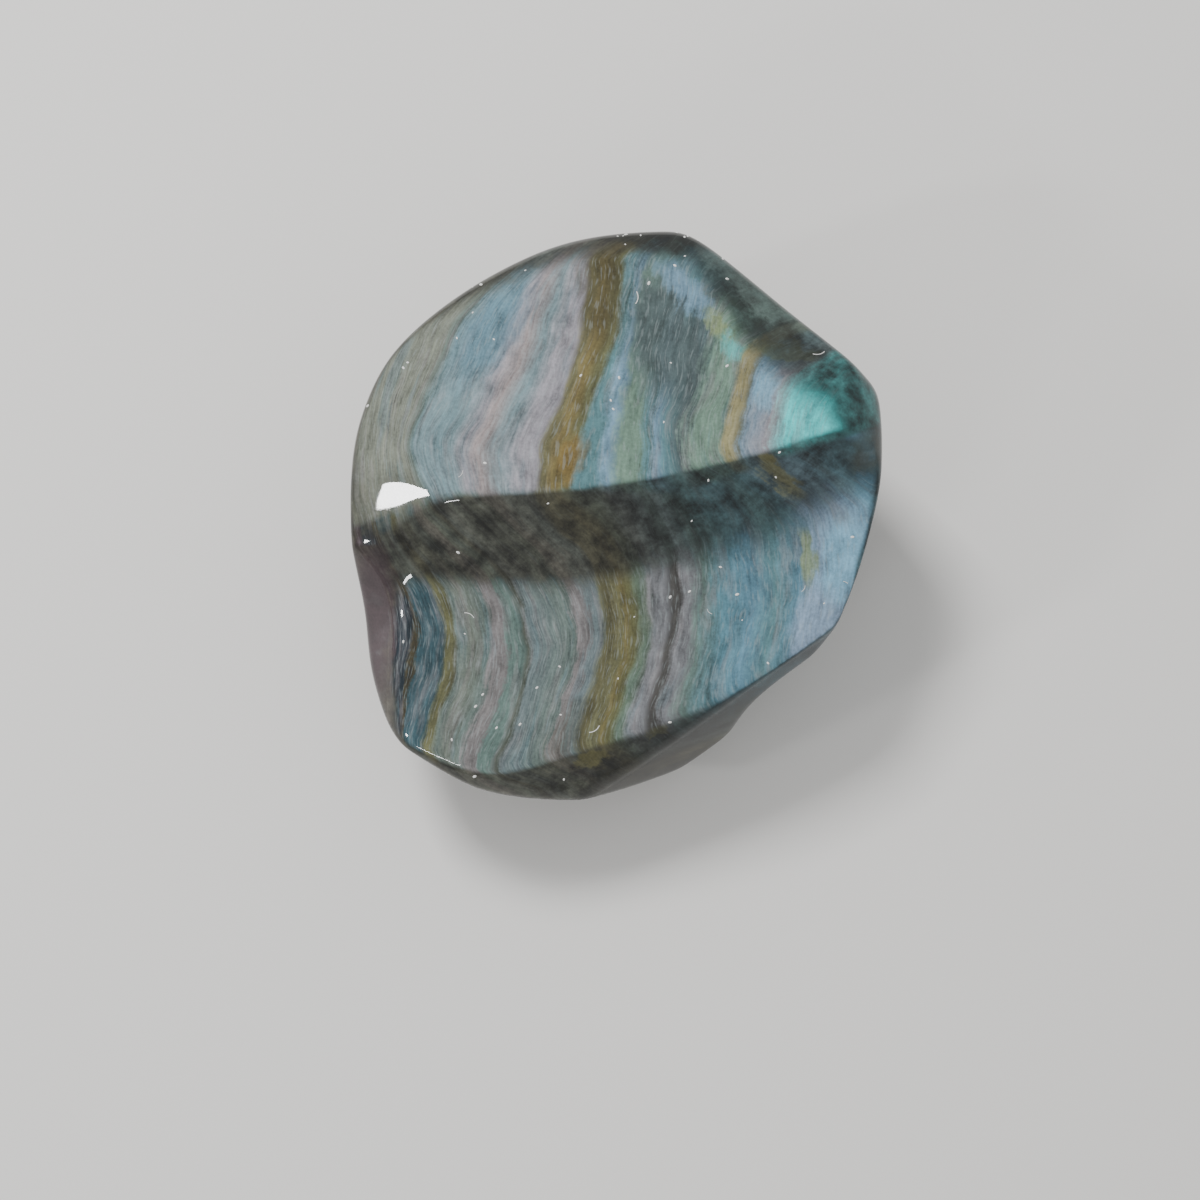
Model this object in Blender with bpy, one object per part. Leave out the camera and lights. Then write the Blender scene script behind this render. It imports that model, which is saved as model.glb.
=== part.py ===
"""A polished freeform of banded obsidian, lying on the flat face ground on its back.

The stone is one solid. It is described the way it was worked: a set of slightly domed faces ground one
after another, and five scoops, each bounded by two faces, all in the frame of its show side (x to the
right, y up the show side, z out of it, millimetres, from the middle of the stone). It is then leaned
back onto its flat face and lifted so that this face lies on z = 0.
"""

import math
from collections import namedtuple

import bmesh
import bpy
import numpy as np

MM = 0.001

LEAN = 15.0  # degrees that the show side leans back when the stone lies on its flat face
REST_DEPTH = 22.0  # from the middle of the stone down to the flat face
REST_SOFTNESS = 4.0
LARGEST_RADIUS = 64.0  # no point of the stone is this far from its middle
GRID = 90  # cells along each edge of the cube whose rays find the surface
HALVINGS = 18
TRIANGLES = 7600

# at: a point on the face, faces: the way it looks, dome: its radius, soft: how far its edge is rounded
Face = namedtuple("Face", "at faces dome soft")
# Two faces that cut only where both of them do, and the width over which one runs into the other
Scoop = namedtuple("Scoop", "first second blend soft")

SHOW_FACES = {
    "upper face": Face((-4.7, 13.6, 12.2), (-0.07, 0.17, 0.98), 300, 1.0),
    "upper right strip": Face((10.1, 17.8, 12.2), (0.045, 0.21, 0.98), 600, 2.0),
    "left shoulder": Face((-28.8, 8.9, 9.4), (-0.52, 0.12, 0.85), 90, 4.0),
    "right shoulder": Face((27.4, 10.6, 12.9), (0.62, 0.16, 0.76), 60, 2.0),
}
BEVELS = {
    "upper rim": Face((-8.9, 30.5, 8.0), (-0.22, 0.61, 0.76), 120, 1.6),
    "upper rim right": Face((5.6, 33.5, 7.5), (0.05, 0.62, 0.78), 120, 0.8),
    "lower right": Face((9.0, -25.9, 6.9), (0.22, -0.53, 0.82), 300, 1.1),
    "lower left": Face((-23.2, -31.4, 6.2), (-0.34, -0.60, 0.72), 150, 1.1),
    "bottom": Face((-13.5, -34.0, 6.6), (-0.05, -0.63, 0.77), 150, 1.1),
}
SIDES = {
    "upper left corner": Face((-31.9, 14.2, 6.0), (-0.93, 0.37, -0.05), 50, 1.6),
    "upper left": Face((-24.7, 24.0, 4.0), (-0.66, 0.75, -0.05), 55, 1.6),
    "top": Face((4.2, 36.0, 5.0), (-0.04, 1.0, -0.05), 120, 2.0),
    "upper right": Face((20.1, 27.3, 4.0), (0.63, 0.775, -0.02), 200, 2.0),
    "right": Face((33.5, 6.3, 6.0), (0.99, -0.08, -0.12), 60, 2.0),
    "lower right corner": Face((31.7, -8.1, 5.0), (0.93, -0.36, -0.05), 60, 2.6),
    "left": Face((-33.8, -0.9, 4.0), (-0.985, 0.0, -0.17), 600, 2.0),
    "lower right": Face((7.3, -29.0, 5.6), (0.48, -0.785, 0.39), 300, 0.8),
    "lower left": Face((-23.9, -32.3, 5.2), (-0.50, -0.80, -0.33), 150, 1.1),
    "bottom": Face((-13.1, -36.6, 4.5), (-0.18, -0.95, -0.25), 80, 1.4),
}
BACK_FACES = {
    "upper left": Face((-24.0, 20.0, -12.0), (-0.60, 0.52, -0.61), 70, 4.0),
    "upper right": Face((24.0, 20.0, -10.0), (0.60, 0.40, -0.69), 70, 4.0),
    "left": Face((-30.0, -12.0, -10.0), (-0.72, -0.22, -0.66), 80, 4.0),
    "right": Face((30.0, -6.0, -11.0), (0.80, -0.20, -0.57), 70, 4.0),
}
SCOOPS = {
    "front hollow": Scoop(
        Face((-7.1, 2.4, 13.9), (0.0, -0.59, 0.81), 110, None),
        Face((-2.2, -16.3, 6.0), (-0.05, 0.12, 0.99), 2000, None),
        blend=15.0,
        soft=1.3,
    ),
    "upper right": Scoop(
        Face((16.5, 24.0, 8.8), (0.48, 0.40, 0.78), 200, None),
        Face((24.4, 13.3, 12.5), (0.12, 0.52, 0.84), 120, None),
        blend=4.0,
        soft=1.6,
    ),
    "left": Scoop(
        Face((-30.5, -2.6, 8.6), (-0.40, -0.50, 0.77), 100, None),
        Face((-27.8, -20.1, 5.2), (-0.72, 0.02, 0.69), 200, None),
        blend=4.0,
        soft=1.3,
    ),
    "ridge end": Scoop(
        Face((-24.5, 3.2, 10.9), (-0.40, -0.14, 0.905), 1000, None),
        Face((-24.5, -4.0, 8.0), (0.0, 1.0, 0.0), 2000, None),
        blend=1.0,
        soft=1.0,
    ),
    "lower right undercut": Scoop(
        Face((17.5, -24.0, 3.0), (0.95, -0.31, -0.08), 2000, None),
        Face((17.5, -24.0, 3.0), (0.35, -0.55, -0.76), 2000, None),
        blend=8.0,
        soft=1.6,
    ),
}


def clear_scene():
    for obj in list(bpy.data.objects):
        bpy.data.objects.remove(obj)


def height_over(face, points):
    """How far each point is outside the domed face, negative on the stone's side."""
    faces = np.array(face.faces) / np.linalg.norm(face.faces)
    centre = np.array(face.at) - face.dome * faces
    return np.linalg.norm(points - centre, axis=1) - face.dome


def rounded_max(a, b, width):
    """The larger of a and b, with the edge between them rounded where they differ by less than width."""
    near = np.maximum(width - np.abs(a - b), 0) / width
    return np.maximum(a, b) + near**3 * width / 6


def height_over_scoop(scoop, points):
    first = height_over(scoop.first, points)
    second = height_over(scoop.second, points)
    return -rounded_max(-first, -second, scoop.blend)


def height_over_rest(points):
    """How far each point is below the flat face that the stone lies on."""
    lean = math.radians(LEAN)
    down = np.array([0, -math.sin(lean), -math.cos(lean)])
    return points @ down - REST_DEPTH


def height_over_stone(points):
    """How far each point is outside the stone, negative inside."""
    height = np.full(len(points), -LARGEST_RADIUS)
    for faces in (SHOW_FACES, BEVELS, SIDES, BACK_FACES):
        for face in faces.values():
            height = rounded_max(height, height_over(face, points), face.soft)
    for scoop in SCOOPS.values():
        height = rounded_max(height, height_over_scoop(scoop, points), scoop.soft)
    return rounded_max(height, height_over_rest(points), REST_SOFTNESS)


def grind(directions):
    """The stone's surface along each ray from its middle, found by halving the step in or out."""
    step = LARGEST_RADIUS / 2
    radius = np.full(len(directions), step)
    for _ in range(HALVINGS):
        step /= 2
        outside = height_over_stone(directions * radius[:, None]) > 0
        radius += np.where(outside, -step, step)
    return directions * radius[:, None]


def cube_rays(bm):
    """Turns the grid of a cube of half size 1 into directions spaced evenly by angle."""
    flat = np.array([vert.co for vert in bm.verts])
    even = np.tan(flat * math.pi / 4)
    return even / np.linalg.norm(even, axis=1)[:, None]


def lay_down(points):
    """From the show side's frame to the stone lying on its flat face, in metres."""
    lean = math.radians(LEAN)
    turn = np.array([[1, 0, 0], [0, math.cos(lean), -math.sin(lean)], [0, math.sin(lean), math.cos(lean)]])
    return (points @ turn.T + [0, 0, REST_DEPTH]) * MM


def obsidian_material():
    """Near black volcanic glass with the grey blue haze of its sheen."""
    material = bpy.data.materials.new("banded_obsidian")
    material.use_nodes = True
    shader = material.node_tree.nodes["Principled BSDF"]
    shader.inputs["Base Color"].default_value = (0.13, 0.17, 0.18, 1)
    shader.inputs["Roughness"].default_value = 0.12
    shader.inputs["Metallic"].default_value = 0.0
    return material


def build_stone():
    bm = bmesh.new()
    bmesh.ops.create_cube(bm, size=2)
    bmesh.ops.subdivide_edges(bm, edges=bm.edges[:], cuts=GRID - 1, use_grid_fill=True)
    points = lay_down(grind(cube_rays(bm)))
    for vert, point in zip(bm.verts, points):
        vert.co = point
    bmesh.ops.recalc_face_normals(bm, faces=bm.faces[:])
    mesh = bpy.data.meshes.new("obsidian_freeform")
    bm.to_mesh(mesh)
    bm.free()
    mesh.shade_smooth()
    mesh.materials.append(obsidian_material())
    stone = bpy.data.objects.new("obsidian_freeform", mesh)
    bpy.context.scene.collection.objects.link(stone)
    # Fewer, larger triangles where the faces are plain, with their edges kept
    thin = stone.modifiers.new("thin", "DECIMATE")
    thin.ratio = TRIANGLES / (12 * GRID**2)
    thin.use_collapse_triangulate = True


clear_scene()
build_stone()
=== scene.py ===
"""A polished freeform of banded obsidian lying on a pale table, seen from above its show side."""

import math

import bpy
from mathutils import Euler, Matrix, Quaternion, Vector


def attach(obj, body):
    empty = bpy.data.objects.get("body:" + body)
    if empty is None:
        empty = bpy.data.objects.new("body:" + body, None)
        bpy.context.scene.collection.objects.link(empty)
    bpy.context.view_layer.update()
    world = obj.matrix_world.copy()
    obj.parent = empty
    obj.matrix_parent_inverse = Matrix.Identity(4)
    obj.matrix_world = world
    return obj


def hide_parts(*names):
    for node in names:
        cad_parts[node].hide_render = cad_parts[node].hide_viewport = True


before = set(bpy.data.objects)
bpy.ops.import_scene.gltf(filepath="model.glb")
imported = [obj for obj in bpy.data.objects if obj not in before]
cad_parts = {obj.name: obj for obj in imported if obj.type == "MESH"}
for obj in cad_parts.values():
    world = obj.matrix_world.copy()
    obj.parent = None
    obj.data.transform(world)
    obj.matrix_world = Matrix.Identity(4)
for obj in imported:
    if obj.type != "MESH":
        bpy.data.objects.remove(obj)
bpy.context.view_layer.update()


# The table top: a plain board with a pale matt paint on it, wide enough to run past the picture on every
# side. The stone lies on it loose.

TABLE_SIZE = 3.0

bpy.ops.mesh.primitive_plane_add(size=TABLE_SIZE)
table = bpy.context.object
table.name = "table"
painted_board = bpy.data.materials.new("painted_board")
painted_board.use_nodes = True
board_shader = painted_board.node_tree.nodes["Principled BSDF"]
board_shader.inputs["Base Color"].default_value = (0.80, 0.79, 0.77, 1)
board_shader.inputs["Roughness"].default_value = 0.7
table.data.materials.append(painted_board)


# The stone: one lump of volcanic glass, sawn and then ground on wheels into slightly domed faces that
# meet in soft edges, with five scoops where two faces cut in together. Everything is given in
# millimetres from the middle of the stone, x to the right, y up the show side, z out of it.

MM = 0.001
LEAN = math.radians(15)  # how far the show side leans back when the stone lies on its flat face
REST_DEPTH = 22.0  # from the middle of the stone down to the flat face
REST_SOFTNESS = 4.0
LARGEST_RADIUS = 64.0  # no point of the stone is this far from its middle
CELLS_ACROSS = 120
HALVINGS = 18

# A point on the face, the way it looks, the radius of its dome, how far its edge is rounded
GROUND_FACES = {
    "upper face": ((-4.7, 13.6, 12.2), (-0.07, 0.17, 0.98), 300, 1.0),
    "upper right strip": ((10.1, 17.8, 12.2), (0.045, 0.21, 0.98), 600, 2.0),
    "left shoulder": ((-28.8, 8.9, 9.4), (-0.52, 0.12, 0.85), 90, 4.0),
    "right shoulder": ((27.4, 10.6, 12.9), (0.62, 0.16, 0.76), 60, 2.0),
    "upper rim right bevel": ((5.6, 33.5, 7.5), (0.05, 0.62, 0.78), 120, 0.8),
    "upper rim bevel": ((-8.9, 30.5, 8.0), (-0.22, 0.61, 0.76), 120, 1.6),
    "lower right bevel": ((9.0, -25.9, 6.9), (0.22, -0.53, 0.82), 300, 1.1),
    "lower left bevel": ((-23.2, -31.4, 6.2), (-0.34, -0.60, 0.72), 150, 1.1),
    "bottom bevel": ((-13.5, -34.0, 6.6), (-0.05, -0.63, 0.77), 150, 1.1),
    "upper left corner": ((-31.9, 14.2, 6.0), (-0.93, 0.37, -0.05), 50, 1.6),
    "upper left side": ((-24.7, 24.0, 4.0), (-0.66, 0.75, -0.05), 55, 1.6),
    "top side": ((4.2, 36.0, 5.0), (-0.04, 1.0, -0.05), 120, 2.0),
    "upper right side": ((20.1, 27.3, 4.0), (0.63, 0.775, -0.02), 200, 2.0),
    "right side": ((33.5, 6.3, 6.0), (0.99, -0.08, -0.12), 60, 2.0),
    "lower right corner": ((31.7, -8.1, 5.0), (0.93, -0.36, -0.05), 60, 2.6),
    "left side": ((-33.8, -0.9, 4.0), (-0.985, 0.0, -0.17), 600, 2.0),
    "lower right side": ((7.3, -29.0, 5.6), (0.48, -0.785, 0.39), 300, 0.8),
    "lower left side": ((-23.9, -32.3, 5.2), (-0.50, -0.80, -0.33), 150, 1.1),
    "bottom side": ((-13.1, -36.6, 4.5), (-0.18, -0.95, -0.25), 80, 1.4),
    "back upper left": ((-24.0, 20.0, -12.0), (-0.60, 0.52, -0.61), 70, 4.0),
    "back upper right": ((24.0, 20.0, -10.0), (0.60, 0.40, -0.69), 70, 4.0),
    "back left": ((-30.0, -12.0, -10.0), (-0.72, -0.22, -0.66), 80, 4.0),
    "back right": ((30.0, -6.0, -11.0), (0.80, -0.20, -0.57), 70, 4.0),
}
# Two faces that cut only where both of them do, each as point, way it looks and dome, then how far they
# run into each other and how far the scoop's edge is rounded
SCOOPS = {
    "front hollow": (
        ((-7.1, 2.4, 13.9), (0.0, -0.59, 0.81), 110),
        ((-2.2, -16.3, 6.0), (-0.05, 0.12, 0.99), 2000),
        15.0,
        1.3,
    ),
    "upper right scoop": (
        ((16.5, 24.0, 8.8), (0.48, 0.40, 0.78), 200),
        ((24.4, 13.3, 12.5), (0.12, 0.52, 0.84), 120),
        4.0,
        1.6,
    ),
    "left scoop": (
        ((-30.5, -2.6, 8.6), (-0.40, -0.50, 0.77), 100),
        ((-27.8, -20.1, 5.2), (-0.72, 0.02, 0.69), 200),
        4.0,
        1.3,
    ),
    "ridge end": (
        ((-24.5, 3.2, 10.9), (-0.40, -0.14, 0.905), 1000),
        ((-24.5, -4.0, 8.0), (0.0, 1.0, 0.0), 2000),
        1.0,
        1.0,
    ),
    "lower right undercut": (
        ((17.5, -24.0, 3.0), (0.95, -0.31, -0.08), 2000),
        ((17.5, -24.0, 3.0), (0.35, -0.55, -0.76), 2000),
        8.0,
        1.6,
    ),
}


def feed(tree, node, inputs):
    """Sets each of the node's inputs, by name or number, to a value or joins it to another node's output."""
    for key, value in inputs.items():
        if isinstance(value, bpy.types.NodeSocket):
            tree.links.new(value, node.inputs[key])
        else:
            node.inputs[key].default_value = value


def put(tree, kind, inputs=None, **settings):
    node = tree.nodes.new(kind)
    for name, value in settings.items():
        setattr(node, name, value)
    feed(tree, node, inputs or {})
    return node


def calc(tree, operation, *values):
    return put(tree, "ShaderNodeMath", dict(enumerate(values)), operation=operation).outputs[0]


def calc_vector(tree, operation, *values):
    node = put(tree, "ShaderNodeVectorMath", operation=operation)
    for socket, value in zip(node.inputs, values):
        feed(tree, node, {node.inputs[:].index(socket): value})
    return node.outputs["Value" if operation in ("LENGTH", "DOT_PRODUCT", "DISTANCE") else "Vector"]


def scaled(tree, vector, length):
    return put(tree, "ShaderNodeVectorMath", {0: vector, "Scale": length}, operation="SCALE").outputs[0]


def new_tree(name, inputs, outputs):
    """A node group with named inputs, given as name: (kind, default), and named outputs, as name: kind."""
    tree = bpy.data.node_groups.new(name, "GeometryNodeTree")
    for label, (kind, default) in inputs.items():
        socket = tree.interface.new_socket(label, in_out="INPUT", socket_type=kind)
        if default is not None:
            socket.default_value = default
    for label, kind in outputs.items():
        tree.interface.new_socket(label, in_out="OUTPUT", socket_type=kind)
    return tree, tree.nodes.new("NodeGroupInput").outputs, tree.nodes.new("NodeGroupOutput")


def domed_face_group():
    """How far a place is outside a domed face, negative on the stone's side."""
    inputs = {
        "Place": ("NodeSocketVector", None),
        "At": ("NodeSocketVector", None),
        "Faces": ("NodeSocketVector", None),
        "Dome": ("NodeSocketFloat", 100.0),
    }
    tree, given, result = new_tree("Domed face", inputs, {"Height": "NodeSocketFloat"})
    faces = calc_vector(tree, "NORMALIZE", given["Faces"])
    inward = scaled(tree, faces, given["Dome"])
    centre = calc_vector(tree, "SUBTRACT", given["At"], inward)
    reach = calc_vector(tree, "DISTANCE", given["Place"], centre)
    feed(tree, result, {"Height": calc(tree, "SUBTRACT", reach, given["Dome"])})
    return tree


def stone_height_group(domed_face):
    """How far a place is outside the whole stone."""
    inputs = {
        "Place": ("NodeSocketVector", None),
        "Lean": ("NodeSocketFloat", LEAN),
        "Rest depth": ("NodeSocketFloat", REST_DEPTH),
        "Rest softness": ("NodeSocketFloat", REST_SOFTNESS),
    }
    tree, given, result = new_tree("Stone height", inputs, {"Height": "NodeSocketFloat"})

    def over(face, label):
        at, faces, dome = face
        node = put(tree, "GeometryNodeGroup", node_tree=domed_face, label=label)
        feed(tree, node, {"Place": given["Place"], "At": at, "Faces": faces, "Dome": dome})
        return node.outputs["Height"]

    height = -LARGEST_RADIUS
    for label, (at, faces, dome, soft) in GROUND_FACES.items():
        height = calc(tree, "SMOOTH_MAX", height, over((at, faces, dome), label), soft)
    for label, (first, second, blend, soft) in SCOOPS.items():
        both = calc(tree, "SMOOTH_MIN", over(first, label), over(second, label), blend)
        height = calc(tree, "SMOOTH_MAX", height, both, soft)
    down = put(tree, "ShaderNodeCombineXYZ", {
        "X": 0.0,
        "Y": calc(tree, "MULTIPLY", calc(tree, "SINE", given["Lean"]), -1.0),
        "Z": calc(tree, "MULTIPLY", calc(tree, "COSINE", given["Lean"]), -1.0),
    }).outputs[0]
    depth = calc_vector(tree, "DOT_PRODUCT", given["Place"], down)
    below = calc(tree, "SUBTRACT", depth, given["Rest depth"])
    feed(tree, result, {"Height": calc(tree, "SMOOTH_MAX", height, below, given["Rest softness"])})
    return tree


def freeform_tree(stone_height):
    """Sends a ray from the middle of the stone through each corner of a gridded cube, finds the ground
    surface on it by halving the step in or out, and lays the stone down on its flat face."""
    inputs = {
        "Cells across": ("NodeSocketInt", CELLS_ACROSS),
        "Halvings": ("NodeSocketInt", HALVINGS),
        "Largest radius": ("NodeSocketFloat", LARGEST_RADIUS),
        "Lean": ("NodeSocketFloat", LEAN),
        "Rest depth": ("NodeSocketFloat", REST_DEPTH),
        "Glass": ("NodeSocketMaterial", None),
    }
    tree, given, result = new_tree("Obsidian freeform", inputs, {"Geometry": "NodeSocketGeometry"})
    corners = calc(tree, "ADD", given["Cells across"], 1.0)
    cube = put(tree, "GeometryNodeMeshCube", {"Size": (2, 2, 2)})
    for side in ("Vertices X", "Vertices Y", "Vertices Z"):
        feed(tree, cube, {side: corners})

    # Evenly spaced directions: the tangent of an angle that grows evenly across each side of the cube
    place = put(tree, "GeometryNodeInputPosition").outputs[0]
    angles = calc_vector(tree, "MULTIPLY", place, (math.pi / 4,) * 3)
    ray = calc_vector(tree, "NORMALIZE", calc_vector(tree, "TANGENT", angles))
    half = calc(tree, "DIVIDE", given["Largest radius"], 2.0)
    on_ball = scaled(tree, ray, half)
    ball = put(tree, "GeometryNodeSetPosition", {"Geometry": cube.outputs["Mesh"], "Position": on_ball})

    start = tree.nodes.new("GeometryNodeRepeatInput")
    end = tree.nodes.new("GeometryNodeRepeatOutput")
    start.pair_with_output(end)
    end.repeat_items.new("FLOAT", "Step")
    feed(tree, start, {"Iterations": given["Halvings"], "Geometry": ball.outputs[0], "Step": half})
    step = calc(tree, "DIVIDE", start.outputs["Step"], 2.0)
    over = put(tree, "GeometryNodeGroup", node_tree=stone_height)
    feed(tree, over, {"Place": place, "Lean": given["Lean"], "Rest depth": given["Rest depth"]})
    outside = calc(tree, "SIGN", over.outputs["Height"])
    outward = calc(tree, "MULTIPLY", outside, calc(tree, "MULTIPLY", step, -1.0))
    move = scaled(tree, calc_vector(tree, "NORMALIZE", place), outward)
    moved = put(tree, "GeometryNodeSetPosition", {"Geometry": start.outputs["Geometry"], "Offset": move})
    feed(tree, end, {"Geometry": moved.outputs[0], "Step": step})

    facing = put(tree, "GeometryNodeStoreNamedAttribute", data_type="FLOAT_VECTOR", domain="POINT")
    feed(tree, facing, {
        "Geometry": end.outputs["Geometry"],
        "Name": "facing",
        3: put(tree, "GeometryNodeInputNormal").outputs[0],
    })
    lying = put(tree, "GeometryNodeTransform", {
        "Geometry": facing.outputs[0],
        "Translation": put(tree, "ShaderNodeCombineXYZ", {
            "Z": calc(tree, "MULTIPLY", given["Rest depth"], MM),
        }).outputs[0],
        "Rotation": put(tree, "ShaderNodeCombineXYZ", {"X": given["Lean"]}).outputs[0],
        "Scale": (MM, MM, MM),
    })
    smooth = put(tree, "GeometryNodeSetShadeSmooth", {"Geometry": lying.outputs[0]})
    real = put(tree, "GeometryNodeRealizeInstances", {"Geometry": smooth.outputs[0]})
    glass = put(tree, "GeometryNodeSetMaterial", {"Geometry": real.outputs[0], "Material": given["Glass"]})
    feed(tree, result, {"Geometry": glass.outputs[0]})
    return tree


# The glass is near black, with sheets of tiny bubbles and crystals that were drawn out as the lava flowed.
# Their sheen is painted into the colour: where a face looks nearly the way SHEEN_FACES does, it gets bright
# bands of colour, a painted sheen, and elsewhere the glass keeps its own dark colour.

# Colours as the eye sees them, from 0 to 255, set beside colours measured on the photo
COLOURS = {
    "dull purple": (86, 70, 78),
    "navy": (32, 44, 52),
    "brown": (64, 58, 38),
    "deep teal": (48, 74, 82),
    "gold": (100, 97, 58),
    "bright gold": (134, 110, 58),
    "pale gold": (154, 142, 92),
    "olive": (70, 76, 46),
    "slate": (98, 113, 108),
    "warm slate": (106, 114, 104),
    "mauve": (120, 117, 117),
    "teal": (94, 116, 110),
    "slate blue": (102, 116, 119),
    "lilac": (116, 118, 122),
    "pale lilac": (134, 158, 182),
    "dark brown": (46, 42, 32),
    "dark olive": (70, 66, 44),
    "dark blue": (44, 70, 80),
    "plum": (60, 48, 52),
    "near black": (28, 30, 28),
    "green gold": (92, 112, 86),
    "slate teal": (72, 96, 100),
    "patch blue": (90, 130, 150),
    "blue": (82, 126, 140),
    "sky": (92, 134, 154),
    "blue green": (88, 128, 134),
    "pale blue": (126, 178, 204),
    "beige": (122, 127, 115),
    "grey blue": (118, 142, 148),
    "pale mauve": (156, 145, 144),
    "upper lilac": (148, 146, 153),
    "green": (110, 138, 122),
    "dark slate": (76, 90, 91),
    "bright blue": (116, 150, 172),
    "turquoise": (80, 212, 212),
    "yellow green": (136, 152, 108),
}

# Sheets of bubbles from left to right: across the stone at its middle, how far each swerves
# with the height above the hollow, its slope below and above the middle, how far it steps aside above the
# ridge, and how far it swells to the right in the middle of the upper face
SHEETS = [
    (-14.0, -1.0, 0.03, 0.0, 0.0, 0.0),
    (-0.3, -1.4, 0.1, 0.1, -6.0, 0.5),
    (12.0, -0.3, 0.15, -0.05, 0.0, 2.0),
    (17.5, 0.3, 0.15, -0.05, 0.0, 0.0),
    (34.0, 0.0, 0.1, 0.0, -3.0, 0.0),
]
SHEET_LEAN = 1.3  # how far the sheets run to the left for each millimetre that they rise
HOLLOW_FLOOR = 5.0  # how far the hollow's floor lies in front of the middle of the stone
STEP_ASIDE_BY = 9.0  # the way up the stone at which the sheets have stepped aside
SWELL_MIDDLE = 20.0
SWELL_REACH = 11.5
OUTER_SPACE = 11.0  # from the outermost sheets to the ends of the bands
LEAST_SPACE = 0.8
# How wide the threads' pattern takes each space between the sheets to be
SPACES = (OUTER_SPACE, 11.0, 20.0, 6.0, 16.0, OUTER_SPACE)

# Bands of colour, by where each lies: 0 at the left end, 1 to 5 on the sheets, 6 at the right end
BANDS = {
    "lower left": [
        (0.00, "dull purple"), (0.14, "dull purple"), (0.22, "navy"), (0.44, "navy"), (0.52, "brown"),
        (0.60, "deep teal"), (1.00, "deep teal"), (1.12, "slate"),
        (1.30, "warm slate"), (1.52, "slate"), (1.60, "mauve"), (1.74, "mauve"), (1.79, "teal"),
        (1.95, "teal"), (2.05, "slate blue"), (2.40, "slate"),
        (2.49, "slate"), (2.54, "mauve"), (2.62, "mauve"), (2.68, "slate blue"), (3.00, "slate blue"),
    ],
    "lower right": [
        (3.00, "teal"), (3.45, "slate"), (3.60, "lilac"), (4.14, "lilac"), (4.22, "teal"),
        (4.40, "blue"), (4.60, "sky"), (4.75, "blue green"), (4.95, "sky"),
        (5.10, "pale lilac"), (5.45, "pale lilac"), (5.70, "pale blue"), (6.0, "sky"),
    ],
    "upper left": [
        (0.00, "beige"), (1.80, "beige"), (2.00, "slate"), (2.08, "grey blue"), (2.36, "grey blue"),
        (2.46, "upper lilac"), (2.56, "pale mauve"), (2.68, "grey blue"), (2.80, "upper lilac"),
        (3.00, "upper lilac"),
    ],
    "upper right": [
        (3.00, "blue green"), (3.50, "blue green"), (3.66, "bright blue"), (3.80, "green"), (4.02, "green"),
        (4.12, "blue green"), (4.22, "bright blue"), (4.35, "blue green"), (4.50, "dark slate"),
        (4.64, "green"), (4.86, "green"), (5.00, "blue green"), (5.12, "bright blue"), (5.40, "upper lilac"),
        (5.60, "turquoise"), (6.00, "turquoise"),
    ],
}

# Thin dark and golden sheets that lie over the bands: which sheet, from and to how many millimetres
# beside it, how soft the edges are, the colour and the strength
RIBBONS = {
    "lower": [
        (0, -0.4, 1.3, 1.1, "gold", 0.8),
        (1, -0.3, 0.5, 1.0, "dark olive", 0.65),
        (2, 0.4, 3.8, 1.6, "green gold", 0.6),
        (2, -2.8, 2.2, 1.4, "gold", 0.85),
        (2, -2.4, -1.2, 1.0, "dark olive", 0.5),
        (2, 0.2, 1.0, 1.0, "bright gold", 0.25),
        (3, -0.4, 1.0, 1.0, "dark brown", 0.75),
    ],
    "upper": [
        (2, -2.1, 2.8, 1.2, "gold", 0.9),
        (2, -0.6, 1.2, 1.4, "bright gold", 0.4),
        (4, -1.1, 1.0, 1.0, "pale gold", 0.8),
        (4, 0.6, 1.3, 0.9, "dark olive", 0.4),
    ],
}

# Flushes of colour in the lit glass: the colour, the middle, half the length and half the width, the turn
# anticlockwise from lying level, and the strength
FLUSHES = [
    ("patch blue", (-15.5, 22.5), (9.0, 3.6), 58, 0.6),
    ("dark slate", (6.0, 21.5), (11.0, 6.0), 98, 0.95),
    ("slate teal", (7.9, 31.6), (7.5, 2.6), -12, 0.8),
    ("bright blue", (8.8, 27.6), (5.5, 1.9), -48, 0.8),
    ("yellow green", (12.4, 23.2), (2.4, 1.6), -55, 0.8),
    ("turquoise", (14.2, 20.3), (2.2, 1.5), -55, 0.45),
    ("pale lilac", (24.4, -18.0), (9.0, 3.2), 80, 1.0),
    ("pale blue", (28.6, -6.0), (6.0, 3.6), 80, 0.9),
    ("pale blue", (18.6, 15.0), (3.4, 1.8), 85, 0.7),
]
# The soft edge of an oval, in shares of its half size
OVAL_OUTSIDE = 1.2
OVAL_INSIDE = 0.5
DEEPEST_FLUSH = 40.0  # a flush reaches this far before and behind the middle of the stone
# Flushes over the ribbons, where the gold is browner, brighter or greener
GOLD_FLUSHES = [
    ("dark olive", (-2.0, 28.5), (9.0, 3.2), 88, 0.7),
    ("dark olive", (-6.0, -28.0), (6.0, 2.4), 60, 0.4),
    ("bright gold", (-5.9, 6.2), (4.0, 1.7), 72, 0.7),
    ("yellow green", (23.8, -5.6), (4.2, 1.1), -82, 0.75),
]
# Painted shade: ovals where the painted sheen is taken away and the glass left dark: middle, half the length
# and half the width, turn and strength
PAINTED_SHADE_PLACES = [
    ((27.5, 18.8), (10.0, 7.6), -28, 1.0),
    ((29.6, 13.4), (4.2, 3.4), 60, 1.0),
]
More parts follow.
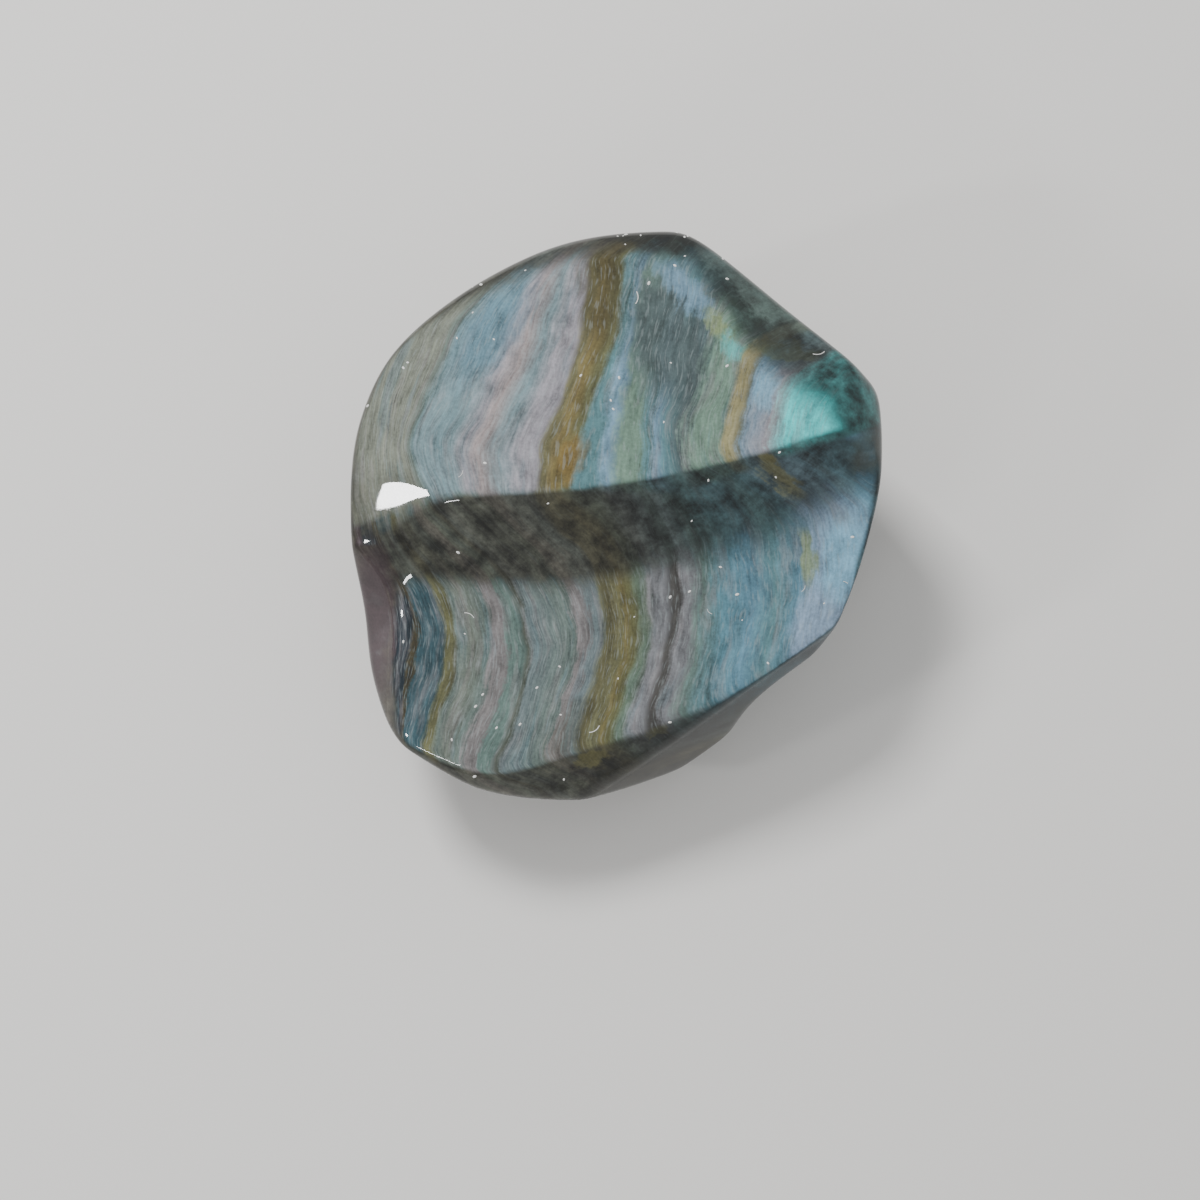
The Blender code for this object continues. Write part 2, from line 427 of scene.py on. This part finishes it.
# Flushes of colour in the dark glass, with painted light among them: the near black ones are painted shade
# on the rims, bevels and the upper right scoop, and the slate and plum ones are painted reflections
DARK_FLUSHES_AND_PAINTED_LIGHT = [
    ("gold", (19.6, 4.6), (4.5, 1.3), -42, 0.6),
    ("brown", (31.2, 7.3), (3.4, 2.0), 70, 0.4),
    ("dark blue", (16.5, -23.0), (10.0, 1.6), 31, 0.6),
    ("gold", (-3.2, -31.3), (3.0, 1.2), 25, 0.5),
    ("gold", (5.2, -27.8), (1.8, 0.9), 30, 0.5),
    ("olive", (21.0, 20.0), (4.0, 1.4), -8, 0.5),
    # painted reflection: a lighter strip along the upper right edge
    ("slate", (17.5, 28.0), (12.0, 2.2), -40, 0.35),
    # painted reflection: a plum tint over the left facet
    ("plum", (-31.5, -14.0), (11.0, 3.8), 88, 1.0),
    # painted shade: the near black flushes darken the rims, bevels and the upper right scoop
    ("near black", (6.0, -29.5), (14.0, 2.6), 31, 0.55),
    ("near black", (5.5, 35.0), (9.0, 2.4), -5, 0.9),
    ("near black", (-13.5, 31.5), (14.0, 2.6), 24, 0.35),
    ("near black", (20.5, 21.8), (5.0, 2.8), -35, 0.5),
    ("near black", (14.0, -26.0), (8.0, 1.8), 31, 0.4),
]

WAVE_SIZE = 9.0
WAVE_HEIGHT = 3.0
RIBBON_RAGGED = 0.5  # how ragged the ribbons are beside the bands
# The smaller these are, the longer a pattern is drawn out along the bands
WISP_DRAW = 0.3
HAIR_DRAW = 0.14
STREAK_DRAW = 0.10
STREAK_SQUEEZE = 0.6
RUFFLE = 5.0  # how far the patterns push the flushes' edges about
GOLD_SHEET = 3.0  # the golden sheet's place among the bands
# The line of the ridge: its height, and from where and how steeply it runs up or down on each side
RIDGE_HEIGHT = 2.2
RIDGE_RISES_FROM = 8.0
RIDGE_RISE = 0.35
RIDGE_DROPS_FROM = -20.0
RIDGE_DROP = 0.3
RIDGE_SOFTNESS = 0.6
SHEEN_FACES = (-0.16, 0.18, 0.97)  # the way a face looks where the painted sheen is at its brightest
SHEEN_STRICTNESS = (0.7, 1.0, 0.4)  # how much it matters that a face looks off to each side
# How far off that way a face still has the full painted sheen, and how far off it has none
SHEEN_FULL = 0.22
SHEEN_GONE = 0.50
MORE_SHEEN = 0.16  # how much further off a face keeps painted sheen, in the hollow and along the lower edge
SIDE_SHADE = 0.55  # how bright the painted shade leaves the sides beside the dark glass of the hollow
BANDS_IN_DARK = 0.10
DARK_LEFT = (50, 49, 40)
DARK_RIGHT = (36, 50, 49)
LILAC_STREAK = (138, 134, 136)
BLUE_STREAK = (94, 130, 140)
PALE_HAIR = (176, 188, 190)


def as_seen(red, green, blue):
    """A colour given as the eye sees it, in the shader's own linear numbers."""
    return (*(((part / 255 + 0.055) / 1.055) ** 2.4 for part in (red, green, blue)), 1)


def soft_step(tree, value, start, end):
    """0 before start, 1 after end, or the other way round where end is smaller, and a soft change between."""
    step = put(tree, "ShaderNodeMapRange", interpolation_type="SMOOTHSTEP")
    low, high = (start, end) if start < end else (end, start)
    feed(tree, step, {"Value": value, "From Min": low, "From Max": high})
    if start > end:
        feed(tree, step, {"To Min": 1.0, "To Max": 0.0})
    return step.outputs[0]


def mix_colour(tree, amount, first, second, way="MIX"):
    node = put(tree, "ShaderNodeMix", data_type="RGBA", blend_type=way)
    feed(tree, node, {"Factor": amount, 6: first, 7: second})
    return node.outputs[2]


def noise(tree, place, size, detail=2.0, rough=0.5):
    """Cloudy noise from 0 to 1 whose clouds are about size apart."""
    inputs = {"Vector": place, "Scale": 1 / size, "Detail": detail, "Roughness": rough}
    return put(tree, "ShaderNodeTexNoise", inputs).outputs[0]


def swayed(tree, value, pattern, strength):
    """The value, more or less by up to half the strength as the pattern goes from 1 to 0."""
    return calc(tree, "MULTIPLY_ADD", calc(tree, "SUBTRACT", pattern, 0.5), strength, value)


def colour_bands(tree, across, bands):
    """The colours of one stretch of bands, from a list of (where, colour)."""
    first, last = bands[0][0], bands[-1][0]
    share = put(tree, "ShaderNodeMapRange", {"Value": across, "From Min": first, "From Max": last})
    ramp = put(tree, "ShaderNodeValToRGB", {0: share.outputs[0]})
    stops = ramp.color_ramp.elements
    while len(stops) < len(bands):
        stops.new(1.0)
    for stop, (where, colour) in zip(stops, bands):
        stop.position = (where - first) / (last - first)
        stop.color = as_seen(*COLOURS[colour])
    return ramp.outputs[0]


def beside_sheets(tree, place, waves):
    """How many millimetres a place lies to the right of each sheet."""
    u, v, w = place
    over_hollow = calc(tree, "MAXIMUM", calc(tree, "SUBTRACT", w, HOLLOW_FLOOR), 0.0)
    level = calc(tree, "MULTIPLY", w, -SHEET_LEAN)
    below = calc(tree, "MINIMUM", v, 0.0)
    above = calc(tree, "MAXIMUM", v, 0.0)
    stepped = soft_step(tree, v, 0.0, STEP_ASIDE_BY)
    from_swell = calc(tree, "ABSOLUTE", calc(tree, "SUBTRACT", v, SWELL_MIDDLE))
    from_swell = calc(tree, "MINIMUM", calc(tree, "DIVIDE", from_swell, SWELL_REACH), 1.0)
    swell = calc(tree, "SUBTRACT", 1.0, calc(tree, "MULTIPLY", from_swell, from_swell))
    beside = []
    for at, swerve_high, slope_below, slope_above, aside, bulge in SHEETS:
        where = calc(tree, "ADD", level, at)
        where = calc(tree, "MULTIPLY_ADD", over_hollow, swerve_high, where)
        where = calc(tree, "MULTIPLY_ADD", below, slope_below, where)
        where = calc(tree, "MULTIPLY_ADD", above, slope_above, where)
        where = calc(tree, "MULTIPLY_ADD", stepped, aside, where)
        where = calc(tree, "MULTIPLY_ADD", swell, bulge, where)
        beside.append(calc(tree, "ADD", calc(tree, "SUBTRACT", u, where), waves))
    return beside


def among_sheets(tree, beside):
    """Where a place lies among the sheets, from 0 to 6, and how many millimetres across the bands that is."""
    first = {"Value": beside[0], "From Min": -OUTER_SPACE, "From Max": 0.0}
    shares = [put(tree, "ShaderNodeMapRange", first)]
    for left, right in zip(beside, beside[1:]):
        space = calc(tree, "MAXIMUM", calc(tree, "SUBTRACT", left, right), LEAST_SPACE)
        shares.append(put(tree, "ShaderNodeMapRange", {"Value": left, "From Min": 0.0, "From Max": space}))
    last = {"Value": beside[-1], "From Min": 0.0, "From Max": OUTER_SPACE}
    shares.append(put(tree, "ShaderNodeMapRange", last))
    across, millimetres = 0.0, 0.0
    for share, space in zip(shares, SPACES):
        across = calc(tree, "ADD", across, share.outputs[0])
        millimetres = calc(tree, "MULTIPLY_ADD", share.outputs[0], space, millimetres)
    return across, millimetres


def with_ribbons(tree, beside, amount, colour, ribbons):
    """The colour with thin sheets of other colours over it."""
    for sheet, left, right, soft, name, strength in ribbons:
        begun = soft_step(tree, beside[sheet], left - soft / 2, left + soft / 2)
        over = soft_step(tree, beside[sheet], right + soft / 2, right - soft / 2)
        inside = calc(tree, "MULTIPLY", begun, over)
        inside = calc(tree, "MULTIPLY", inside, calc(tree, "MULTIPLY", amount, strength))
        colour = mix_colour(tree, inside, colour, as_seen(*COLOURS[name]))
    return colour


def in_oval(tree, place, middle, half, turn):
    """1 inside a soft oval that reaches through the stone, 0 outside it."""
    oval = put(tree, "ShaderNodeMapping", vector_type="TEXTURE")
    feed(tree, oval, {
        "Vector": place,
        "Location": (*middle, 0),
        "Rotation": (0, 0, math.radians(turn)),
        "Scale": (*half, DEEPEST_FLUSH),
    })
    return soft_step(tree, calc_vector(tree, "LENGTH", oval.outputs[0]), OVAL_OUTSIDE, OVAL_INSIDE)


def flushed(tree, place, colour, flushes):
    """The colour with soft oval flushes of other colours in it."""
    for name, middle, half, turn, strength in flushes:
        inside = calc(tree, "MULTIPLY", in_oval(tree, place, middle, half, turn), strength)
        colour = mix_colour(tree, inside, colour, as_seen(*COLOURS[name]))
    return colour


banded_obsidian = bpy.data.materials.new("banded_obsidian")
banded_obsidian.use_nodes = True
glass = banded_obsidian.node_tree
shader = glass.nodes["Principled BSDF"]

# From the lying stone in metres back to the frame of its show side in millimetres
in_stone = put(glass, "ShaderNodeTexCoord").outputs["Object"]
level_place = put(glass, "ShaderNodeMapping", {
    "Vector": in_stone,
    "Scale": (1 / MM, 1 / MM, 1 / MM),
    "Rotation": (-LEAN, 0, 0),
    "Location": (0, -REST_DEPTH * math.sin(LEAN), -REST_DEPTH * math.cos(LEAN)),
}).outputs[0]
u, v, w = put(glass, "ShaderNodeSeparateXYZ", {0: level_place}).outputs

# Slow waves in the sheets
waves = swayed(glass, 0.0, noise(glass, level_place, WAVE_SIZE), WAVE_HEIGHT)
beside = beside_sheets(glass, (u, v, w), waves)
millimetres = among_sheets(glass, beside)[1]


def drawn_along(draw, squeeze=1.0):
    """A place whose patterns come out drawn along the bands, the more the smaller draw is."""
    return put(glass, "ShaderNodeCombineXYZ", {
        0: calc(glass, "MULTIPLY", millimetres, squeeze),
        1: calc(glass, "MULTIPLY", v, draw),
        2: calc(glass, "MULTIPLY", w, draw),
    }).outputs[0]


# Smoke, wisps, threads and hairs run along the bands, from coarse to fine, and clouds and grain don't
smoke = noise(glass, drawn_along(WISP_DRAW), 3.0, 4.0, 0.6)
wisps = noise(glass, drawn_along(WISP_DRAW), 1.6, 3.0, 0.6)
threads = noise(glass, drawn_along(HAIR_DRAW), 0.45, 2.0, 0.6)
hairs = noise(glass, drawn_along(HAIR_DRAW), 0.24, 1.0, 0.5)
clouds = noise(glass, level_place, 2.6, 4.0, 0.65)
grain = noise(glass, level_place, 0.35, 2.0, 0.6)

# Ragged edges
ragged = 0.0
for pattern, strength in ((wisps, 2.6), (threads, 1.6), (grain, 0.9)):
    ragged = swayed(glass, ragged, pattern, strength)
across = among_sheets(glass, [calc(glass, "ADD", distance, ragged) for distance in beside])[0]
beside = [calc(glass, "MULTIPLY_ADD", ragged, RIBBON_RAGGED, distance) for distance in beside]

right_of_gold = calc(glass, "GREATER_THAN", across, GOLD_SHEET)
lower = mix_colour(
    glass, right_of_gold,
    colour_bands(glass, across, BANDS["lower left"]), colour_bands(glass, across, BANDS["lower right"]),
)
upper = mix_colour(
    glass, right_of_gold,
    colour_bands(glass, across, BANDS["upper left"]), colour_bands(glass, across, BANDS["upper right"]),
)
# The ridge rises to the right of the middle and drops at its left end
rise = calc(glass, "MAXIMUM", calc(glass, "SUBTRACT", u, RIDGE_RISES_FROM), 0.0)
drop = calc(glass, "MAXIMUM", calc(glass, "SUBTRACT", RIDGE_DROPS_FROM, u), 0.0)
ridge = calc(glass, "MULTIPLY_ADD", rise, RIDGE_RISE, RIDGE_HEIGHT)
ridge = calc(glass, "MULTIPLY_ADD", drop, -RIDGE_DROP, ridge)
above_ridge = soft_step(glass, calc(glass, "SUBTRACT", v, ridge), -RIDGE_SOFTNESS, RIDGE_SOFTNESS)
lit = mix_colour(glass, above_ridge, lower, upper)
ruffled = calc_vector(glass, "ADD", level_place, put(glass, "ShaderNodeCombineXYZ", {
    0: swayed(glass, 0.0, wisps, RUFFLE),
    1: swayed(glass, 0.0, clouds, RUFFLE),
}).outputs[0])

# Streaks of lilac and of blue through every band, then the flushes, the ribbons and the gold's own flushes
streaks = drawn_along(STREAK_DRAW, STREAK_SQUEEZE)
lilac_streaks = soft_step(glass, noise(glass, streaks, 0.9, 3.0, 0.6), 0.48, 0.66)
blue_streaks = soft_step(glass, noise(glass, streaks, 1.3, 3.0, 0.6), 0.48, 0.34)
lit = mix_colour(glass, calc(glass, "MULTIPLY", lilac_streaks, 0.35), lit, as_seen(*LILAC_STREAK))
lit = mix_colour(glass, calc(glass, "MULTIPLY", blue_streaks, 0.30), lit, as_seen(*BLUE_STREAK))
lit = flushed(glass, ruffled, lit, FLUSHES)
lit = with_ribbons(glass, beside, calc(glass, "SUBTRACT", 1.0, above_ridge), lit, RIBBONS["lower"])
lit = with_ribbons(glass, beside, above_ridge, lit, RIBBONS["upper"])
lit = flushed(glass, ruffled, lit, GOLD_FLUSHES)

# Painted sheen: faces that look nearly the way SHEEN_FACES does, on the show side and on the back, get
# the lit colours
facing = put(glass, "ShaderNodeAttribute", attribute_name="facing").outputs["Vector"]
off_sides = []
for towards in (SHEEN_FACES, [-part for part in SHEEN_FACES]):
    off = calc_vector(glass, "MULTIPLY", calc_vector(glass, "SUBTRACT", facing, towards), SHEEN_STRICTNESS)
    off_sides.append(calc_vector(glass, "LENGTH", off))
off_sheen = calc(glass, "MINIMUM", *off_sides)
off_sheen = swayed(glass, off_sheen, clouds, 0.30)
# The painted sheen reaches further into the hollow right of the middle and along the lower edge, so less
# of the glass is left dark there
below_ridge = calc(glass, "SUBTRACT", 1.0, above_ridge)
in_hollow = calc(glass, "MULTIPLY", soft_step(glass, u, -10.0, 11.0), below_ridge)
low = calc(glass, "MULTIPLY", soft_step(glass, v, -6.0, -10.5), soft_step(glass, u, -29.5, -26.5))
for where_more in (in_hollow, low):
    off_sheen = calc(glass, "MULTIPLY_ADD", where_more, -MORE_SHEEN, off_sheen)
sheen = soft_step(glass, off_sheen, SHEEN_GONE, SHEEN_FULL)
# Painted shade: inside these ovals the sheen is taken away
for middle_of, half, turn, strength in PAINTED_SHADE_PLACES:
    dull = calc(glass, "MULTIPLY", in_oval(glass, ruffled, middle_of, half, turn), strength)
    sheen = calc(glass, "MULTIPLY", sheen, calc(glass, "SUBTRACT", 1.0, dull))

# Dark glass is olive grey to the left and green black to the right, with the bands faint in it
to_the_right = soft_step(glass, across, GOLD_SHEET, 4.5)
dark = mix_colour(glass, to_the_right, as_seen(*DARK_LEFT), as_seen(*DARK_RIGHT))
dark = mix_colour(glass, BANDS_IN_DARK, dark, lit)
mottle = calc(glass, "MULTIPLY_ADD", smoke, 2.4, -2.1)
mottle = calc(glass, "MAXIMUM", calc(glass, "MULTIPLY_ADD", clouds, 3.8, mottle), 0.3)
# Painted shade: faces that look away from the front, the sides, are made plainer and darker than the hollow
looks_out = put(glass, "ShaderNodeSeparateXYZ", {0: facing}).outputs[2]
front_unshaded = calc(glass, "MULTIPLY_ADD", soft_step(glass, looks_out, 0.15, 0.60), 0.72, 0.28)
mottle = calc(glass, "MULTIPLY_ADD", calc(glass, "SUBTRACT", mottle, SIDE_SHADE), front_unshaded, SIDE_SHADE)
dark = mix_colour(glass, 1.0, dark, mottle, "MULTIPLY")
# Flushes in the dark glass, with painted shade and painted reflections among them
dark = flushed(glass, ruffled, dark, DARK_FLUSHES_AND_PAINTED_LIGHT)
# Painted sheen: the lit colours where the sheen is, the dark glass elsewhere
colour = mix_colour(glass, sheen, dark, lit)

# Every pattern makes the glass lighter and darker, and pale hairs run along the bands
shade = 1.0
thread_shade = calc(glass, "MULTIPLY_ADD", sheen, 0.7, 0.4)
for pattern, strength in ((threads, thread_shade), (wisps, 1.3), (clouds, 0.9), (grain, 0.7)):
    shade = swayed(glass, shade, pattern, strength)
colour = mix_colour(glass, 1.0, colour, shade, "MULTIPLY")
hair_strength = calc(glass, "MULTIPLY_ADD", sheen, 0.18, 0.02)
pale_hairs = calc(glass, "MULTIPLY", soft_step(glass, hairs, 0.54, 0.70), hair_strength)
colour = mix_colour(glass, pale_hairs, colour, as_seen(*PALE_HAIR))

feed(glass, shader, {
    "Base Color": colour,
    "Metallic": calc(glass, "MULTIPLY", sheen, 0.3),
    "Roughness": 0.45,
    "IOR": 1.5,
    "Specular IOR Level": 0.0,
    "Coat Weight": 1.0,
    "Coat Roughness": 0.02,
    "Coat IOR": 1.5,
})

stone = bpy.data.objects.new("freeform", bpy.data.meshes.new("freeform"))
bpy.context.scene.collection.objects.link(stone)
grinding = stone.modifiers.new("grinding", "NODES")
grinding.node_group = freeform_tree(stone_height_group(domed_face_group()))
for item in grinding.node_group.interface.items_tree:
    if item.name == "Glass":
        grinding[item.identifier] = banded_obsidian
ground = stone.evaluated_get(bpy.context.evaluated_depsgraph_get())
stone.data = bpy.data.meshes.new_from_object(ground)
stone.modifiers.remove(grinding)
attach(stone, "root")
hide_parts("obsidian_freeform")


# Dust: specks of pale fluff and a few short fibres that cling to the polish, thickest along the upper rim.
# They lie half sunk in the surface, and only on the side that faces up.

SPECK_RADIUS = 0.00015
SPECKS_PER_AREA = 15000.0  # to the square metre
DUSTY_RIM_FROM = 0.029  # metres up the table from the middle of the stone
RIM_SHARE = 4.0
FIBRE_LENGTH = 0.0013
FIBRE_RADIUS = 0.00005
FIBRES_PER_AREA = 2600.0
LOOKS_UP = 0.45  # how far up a face has to look for dust to lie on it
SPECK_SEED = 4
FIBRE_SEED = 11


def dust_tree():
    """Scatters specks and fibres over the faces of a mesh that look up."""
    inputs = {
        "Stone": ("NodeSocketGeometry", None),
        "Speck radius": ("NodeSocketFloat", SPECK_RADIUS),
        "Specks per area": ("NodeSocketFloat", SPECKS_PER_AREA),
        "Rim from": ("NodeSocketFloat", DUSTY_RIM_FROM),
        "Rim share": ("NodeSocketFloat", RIM_SHARE),
        "Fibre length": ("NodeSocketFloat", FIBRE_LENGTH),
        "Fibre radius": ("NodeSocketFloat", FIBRE_RADIUS),
        "Fibres per area": ("NodeSocketFloat", FIBRES_PER_AREA),
        "Fluff": ("NodeSocketMaterial", None),
    }
    tree, given, result = new_tree("Dust", inputs, {"Geometry": "NodeSocketGeometry"})
    place = put(tree, "GeometryNodeInputPosition").outputs[0]
    normal = put(tree, "GeometryNodeInputNormal").outputs[0]
    up_table = put(tree, "ShaderNodeSeparateXYZ", {0: place}).outputs[1]
    looks_up = put(tree, "ShaderNodeSeparateXYZ", {0: normal}).outputs[2]
    faces_up = calc(tree, "GREATER_THAN", looks_up, LOOKS_UP)
    at_rim = calc(tree, "GREATER_THAN", up_table, given["Rim from"])
    more_at_rim = calc(tree, "MULTIPLY_ADD", at_rim, given["Rim share"], 1.0)

    def scatter(seed, density, piece, smallest, largest):
        points = put(tree, "GeometryNodeDistributePointsOnFaces", {
            "Mesh": given["Stone"],
            "Selection": faces_up,
            "Density": density,
            "Seed": seed,
        })
        number = put(tree, "GeometryNodeInputIndex").outputs[0]
        turn = put(tree, "FunctionNodeRandomValue", data_type="FLOAT")
        feed(tree, turn, {2: 0.0, 3: math.tau, "ID": number, "Seed": seed})
        size = put(tree, "FunctionNodeRandomValue", data_type="FLOAT")
        feed(tree, size, {2: smallest, 3: largest, "ID": number, "Seed": seed + 1})
        spun = put(tree, "FunctionNodeRotateRotation", rotation_space="LOCAL")
        about = put(tree, "ShaderNodeCombineXYZ", {"Z": turn.outputs[1]})
        feed(tree, spun, {"Rotation": points.outputs["Rotation"], "Rotate By": about.outputs[0]})
        placed = put(tree, "GeometryNodeInstanceOnPoints", {
            "Points": points.outputs["Points"],
            "Instance": piece,
            "Rotation": spun.outputs[0],
            "Scale": size.outputs[1],
        })
        return placed.outputs[0]

    speck = put(tree, "GeometryNodeMeshIcoSphere", {"Radius": given["Speck radius"], "Subdivisions": 2})
    flattened = put(tree, "GeometryNodeTransform", {"Geometry": speck.outputs[0], "Scale": (1.3, 0.8, 0.6)})
    half_length = calc(tree, "MULTIPLY", given["Fibre length"], 0.5)
    left = put(tree, "ShaderNodeCombineXYZ", {"X": calc(tree, "MULTIPLY", half_length, -1.0)}).outputs[0]
    right = put(tree, "ShaderNodeCombineXYZ", {"X": half_length}).outputs[0]
    middle = put(tree, "ShaderNodeCombineXYZ", {"Y": calc(tree, "MULTIPLY", half_length, 0.6)}).outputs[0]
    bend = put(tree, "GeometryNodeCurveQuadraticBezier", {
        "Resolution": 6,
        "Start": left,
        "Middle": middle,
        "End": right,
    })
    ring = put(tree, "GeometryNodeCurvePrimitiveCircle", {"Resolution": 5, "Radius": given["Fibre radius"]})
    fibre = put(tree, "GeometryNodeCurveToMesh", {
        "Curve": bend.outputs[0],
        "Profile Curve": ring.outputs[0],
        "Fill Caps": True,
    })
    specks_density = calc(tree, "MULTIPLY", given["Specks per area"], more_at_rim)
    both = tree.nodes.new("GeometryNodeJoinGeometry")
    tree.links.new(scatter(SPECK_SEED, specks_density, flattened.outputs[0], 0.6, 1.5), both.inputs[0])
    tree.links.new(scatter(FIBRE_SEED, given["Fibres per area"], fibre.outputs[0], 0.6, 1.4), both.inputs[0])
    real = put(tree, "GeometryNodeRealizeInstances", {"Geometry": both.outputs[0]})
    fluffy = put(tree, "GeometryNodeSetMaterial", {"Geometry": real.outputs[0], "Material": given["Fluff"]})
    feed(tree, result, {"Geometry": fluffy.outputs[0]})
    return tree


pale_fluff = bpy.data.materials.new("pale_fluff")
pale_fluff.use_nodes = True
fluff_shader = pale_fluff.node_tree.nodes["Principled BSDF"]
fluff_shader.inputs["Base Color"].default_value = (0.80, 0.80, 0.78, 1)
fluff_shader.inputs["Roughness"].default_value = 0.9

dust = bpy.data.objects.new("dust", stone.data.copy())
bpy.context.scene.collection.objects.link(dust)
scattering = dust.modifiers.new("scattering", "NODES")
scattering.node_group = dust_tree()
for item in scattering.node_group.interface.items_tree:
    if item.name == "Fluff":
        scattering[item.identifier] = pale_fluff
scattered = dust.evaluated_get(bpy.context.evaluated_depsgraph_get())
dust.data = bpy.data.meshes.new_from_object(scattered)
dust.modifiers.remove(scattering)
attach(dust, "root")


# Light: a dim even studio and one wide soft key lamp at the upper left, which is kept out of reflections.
# Two small lamps are there to be reflected: the window as the white patch at the left end of the ridge,
# and the edge lamp as the glint along the lower left edge.

SKY_STRENGTH = 0.6
MIDDLE = (0, 0, 0)
RIDGE_END = (-27.2, 2.5, 11)
LOWER_LEFT_EDGE = (-27, -31, 6)
KEY_PLACE = (-210, 390, 402)
WINDOW_PLACE = (-495.5, -102, 368)
EDGE_PLACE = (-280, -311, 402)


def on_show_side(place):
    """From the show side's frame in millimetres to the lying stone's in metres."""
    turned = Euler((LEAN, 0, 0)).to_matrix() @ Vector(place)
    return (turned + Vector((0, 0, REST_DEPTH))) * MM


def lamp(name, place, aim, width, height, turn, power):
    """A flat lamp whose place and aim are given in the show side's frame."""
    data = bpy.data.lights.new(name, "AREA")
    data.shape = "RECTANGLE"
    data.size = width
    data.size_y = height
    data.energy = power
    shining = bpy.data.objects.new(name, data)
    bpy.context.scene.collection.objects.link(shining)
    shining.location = on_show_side(place)
    towards_aim = on_show_side(aim) - on_show_side(place)
    level = towards_aim.to_track_quat("-Z", "Y")
    shining.rotation_euler = (level @ Quaternion((0, 0, 1), math.radians(turn))).to_euler()
    return shining


studio = bpy.data.worlds.new("studio")
bpy.context.scene.world = studio
studio.use_nodes = True
sky = studio.node_tree.nodes["Background"]
sky.inputs["Color"].default_value = (1, 1, 1, 1)
sky.inputs["Strength"].default_value = SKY_STRENGTH
key = lamp("key", KEY_PLACE, MIDDLE, 0.16, 0.16, 0, 3.1)
key.visible_glossy = False
lamp("window", WINDOW_PLACE, RIDGE_END, 0.036, 0.066, -25, 0.6)
lamp("edge", EDGE_PLACE, LOWER_LEFT_EDGE, 0.10, 0.02, 12, 0.3)


# Camera: straight in front of the show side, which leans back, at a quarter of a metre from the stone.

CAMERA_PLACE = (-2.21, -11.18, 260)

camera = bpy.data.objects.new("camera", bpy.data.cameras.new("camera"))
bpy.context.scene.collection.objects.link(camera)
camera.location = on_show_side(CAMERA_PLACE)
camera.rotation_euler = (LEAN, 0, 0)
camera.data.lens = 60
camera.data.sensor_width = 36
camera.data.clip_start = 0.01
bpy.context.scene.camera = camera


def corners(box):
    return [list(corner) for corner in box]
